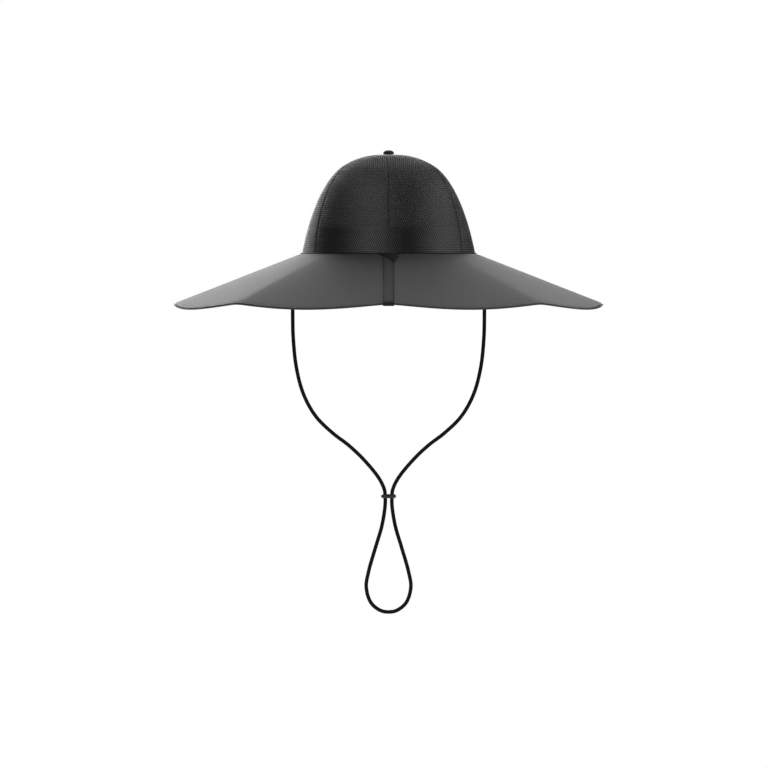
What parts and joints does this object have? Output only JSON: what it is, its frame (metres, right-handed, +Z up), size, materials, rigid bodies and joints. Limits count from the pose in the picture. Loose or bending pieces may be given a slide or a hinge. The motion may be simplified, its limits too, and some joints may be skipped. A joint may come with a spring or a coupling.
{
  "type": "wide-brim mesh-crown sun hat",
  "caption": "Sun hat with a see-through mesh crown, a wide stiff scalloped brim and a chin cord with a slider that tightens it under the chin.",
  "frame": {"origin": "centre of the head opening, in the plane where the crown meets the brim", "axes": "+Z up through the crown's button, -Y towards the front with the tape on the brim, +X to the right seen from the front"},
  "size_m": [0.4294, 0.4639, 0.4637],
  "materials": {
    "crown_mesh": "open polyester mesh, matt black",
    "button_cloth": "smooth woven cover, dark grey",
    "sweatband_cloth": "brushed woven band, black",
    "brim_cloth": "stiff plain-woven polyester, mid grey",
    "binding_tape": "folded binding tape, near black",
    "woven_tape": "flat woven polyester tape, dark grey",
    "cord_braid": "round braided polyester cord, black",
    "slider_rubber": "moulded soft rubber, dark grey, satin"
  },
  "bodies": {
    "root": {"crown_panel_front_right": "crown_mesh", "crown_panel_side_right": "crown_mesh", "crown_panel_rear_right": "crown_mesh", "crown_panel_rear_left": "crown_mesh", "crown_panel_side_left": "crown_mesh", "crown_panel_front_left": "crown_mesh", "top_button": "button_cloth", "sweatband": "sweatband_cloth", "brim": "brim_cloth", "brim_binding": "binding_tape", "brim_strap": "woven_tape", "strap_end_fold": "woven_tape", "cord_tab_left": "woven_tape", "cord_tab_right": "woven_tape", "chin_cord": "cord_braid", "cord_slider": "slider_rubber"}
  },
  "joints": []
}
